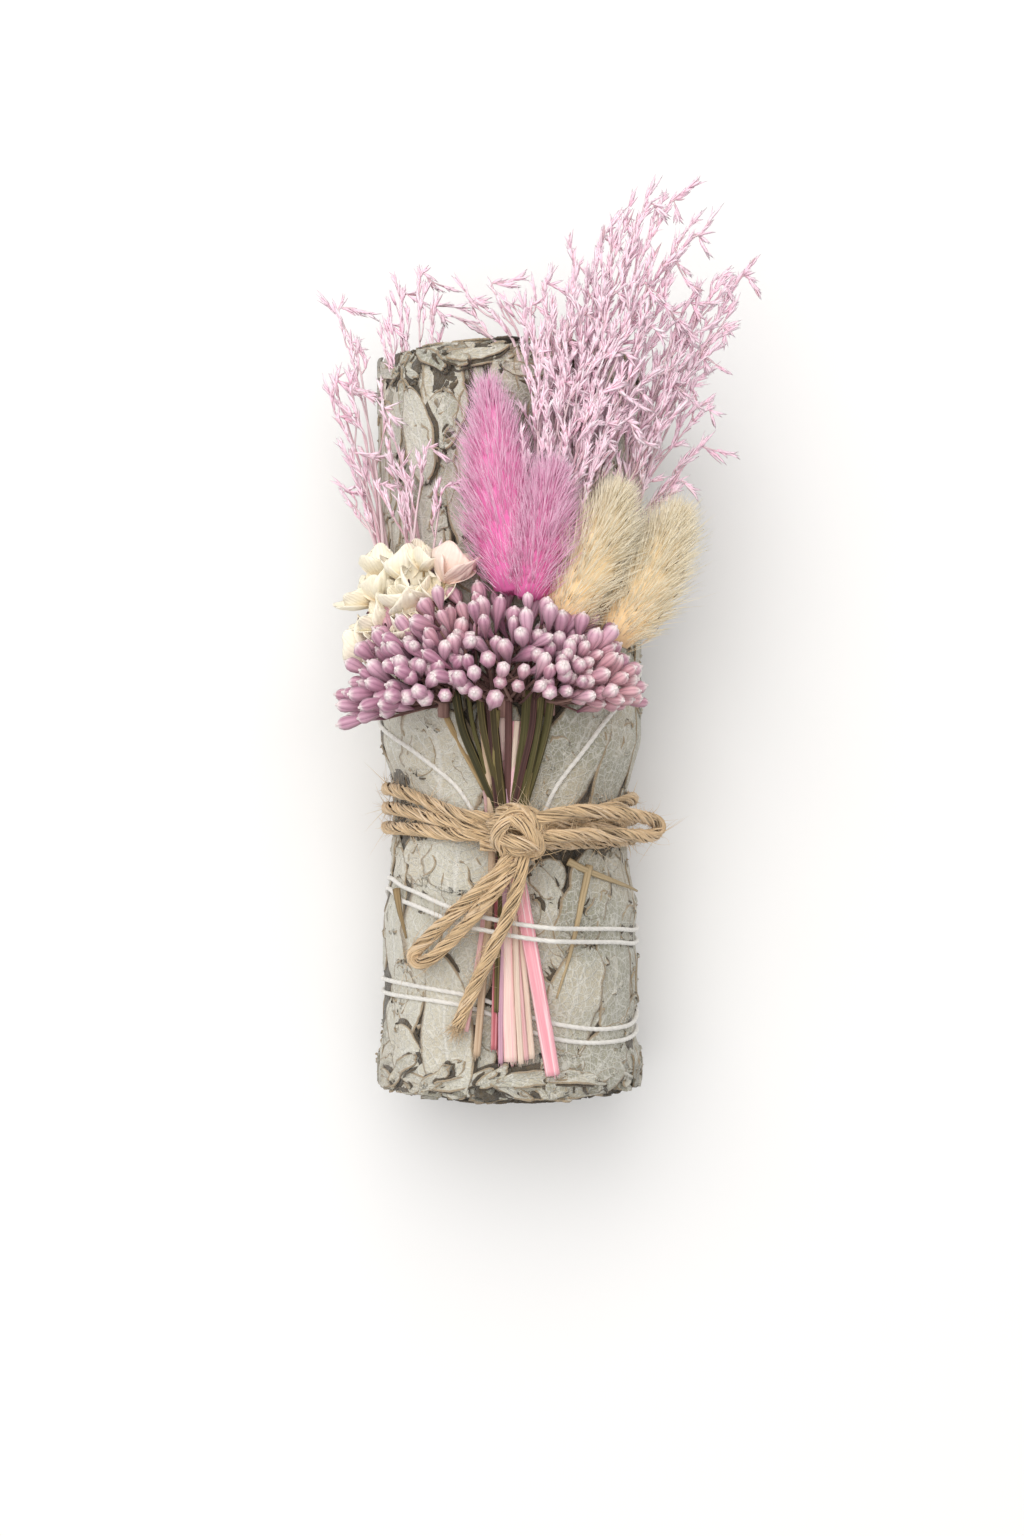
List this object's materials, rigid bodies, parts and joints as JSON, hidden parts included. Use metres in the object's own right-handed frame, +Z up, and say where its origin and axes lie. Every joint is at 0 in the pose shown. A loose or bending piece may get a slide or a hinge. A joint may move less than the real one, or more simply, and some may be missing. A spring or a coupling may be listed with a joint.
{
  "type": "dried sage bundle",
  "caption": "Rolled bundle of dried white sage, wound with cotton thread, with dried pink and cream flowers tied on with a jute bow.",
  "frame": {"origin": "centre of the flat resting underside of the bundle, midway along its length", "axes": "+Y along the bundle towards the flower heads, +Z up out of the resting face through the knot, +X to the right seen from above"},
  "size_m": [0.0549, 0.1174, 0.0511],
  "materials": {
    "outer_leaf": "dry felt-like pale grey-green leaf, matt",
    "inner_leaf": "dry felt-like leaf, matt, a little browner",
    "sage_sprig": "crumpled dry leaves and brown stems, matt",
    "cotton_thread": "white cotton, soft",
    "jute_twine": "natural jute, hairy, matt",
    "green_stem": "dry olive stem, satin",
    "pink_stem": "dyed straw, satin, grooved",
    "cream_stem": "natural straw, satin, grooved",
    "allium_buds": "dry mauve buds with pale tips, satin",
    "pink_tuft": "soft dyed hair",
    "cream_tuft": "soft natural hair",
    "pink_florets": "papery dyed florets",
    "cream_petals": "papery thin petals"
  },
  "bodies": {
    "root": {"outer_sage_leaf_lower_1": "outer_leaf", "outer_sage_leaf_lower_2": "outer_leaf", "outer_sage_leaf_lower_3": "outer_leaf", "outer_sage_leaf_lower_4": "outer_leaf", "outer_sage_leaf_lower_5": "outer_leaf", "outer_sage_leaf_lower_6": "outer_leaf", "outer_sage_leaf_lower_7": "outer_leaf", "outer_sage_leaf_lower_8": "outer_leaf", "outer_sage_leaf_upper_1": "outer_leaf", "outer_sage_leaf_upper_2": "outer_leaf", "outer_sage_leaf_upper_3": "outer_leaf", "outer_sage_leaf_upper_4": "outer_leaf", "outer_sage_leaf_upper_5": "outer_leaf", "outer_sage_leaf_upper_6": "outer_leaf", "outer_sage_leaf_upper_7": "outer_leaf", "outer_sage_leaf_upper_8": "outer_leaf", "inner_sage_leaf_1": "inner_leaf", "inner_sage_leaf_2": "inner_leaf", "inner_sage_leaf_3": "inner_leaf", "inner_sage_leaf_4": "inner_leaf", "inner_sage_leaf_5": "inner_leaf", "inner_sage_leaf_6": "inner_leaf", "inner_sage_leaf_7": "inner_leaf", "inner_sage_leaf_8": "inner_leaf", "sage_sprig_heart": "sage_sprig", "sage_sprig_1": "sage_sprig", "sage_sprig_2": "sage_sprig", "sage_sprig_3": "sage_sprig", "sage_sprig_4": "sage_sprig", "sage_sprig_5": "sage_sprig", "sage_sprig_6": "sage_sprig", "cotton_thread_lower": "cotton_thread", "cotton_thread_upper": "cotton_thread", "jute_twine_wraps": "jute_twine", "jute_twine_knot": "jute_twine", "jute_twine_loop_left": "jute_twine", "jute_twine_loop_right": "jute_twine", "jute_twine_tail": "jute_twine", "allium_stem_left": "green_stem", "allium_stem_centre": "green_stem", "allium_stem_right": "green_stem", "pink_bunny_tail_tall_stem": "pink_stem", "pink_bunny_tail_short_stem": "pink_stem", "cream_bunny_tail_inner_stem": "cream_stem", "cream_bunny_tail_outer_stem": "cream_stem", "allium_head_left": "allium_buds", "allium_head_centre": "allium_buds", "allium_head_right": "allium_buds", "pink_bunny_tail_tall_head": "pink_tuft", "pink_bunny_tail_short_head": "pink_tuft", "cream_bunny_tail_inner_head": "cream_tuft", "cream_bunny_tail_outer_head": "cream_tuft", "pink_sprig_right_1": "pink_florets", "pink_sprig_right_2": "pink_florets", "pink_sprig_right_3": "pink_florets", "pink_sprig_left_1": "pink_florets", "pink_sprig_left_2": "pink_florets", "cream_floret_sprig": "cream_petals"}
  },
  "joints": []
}
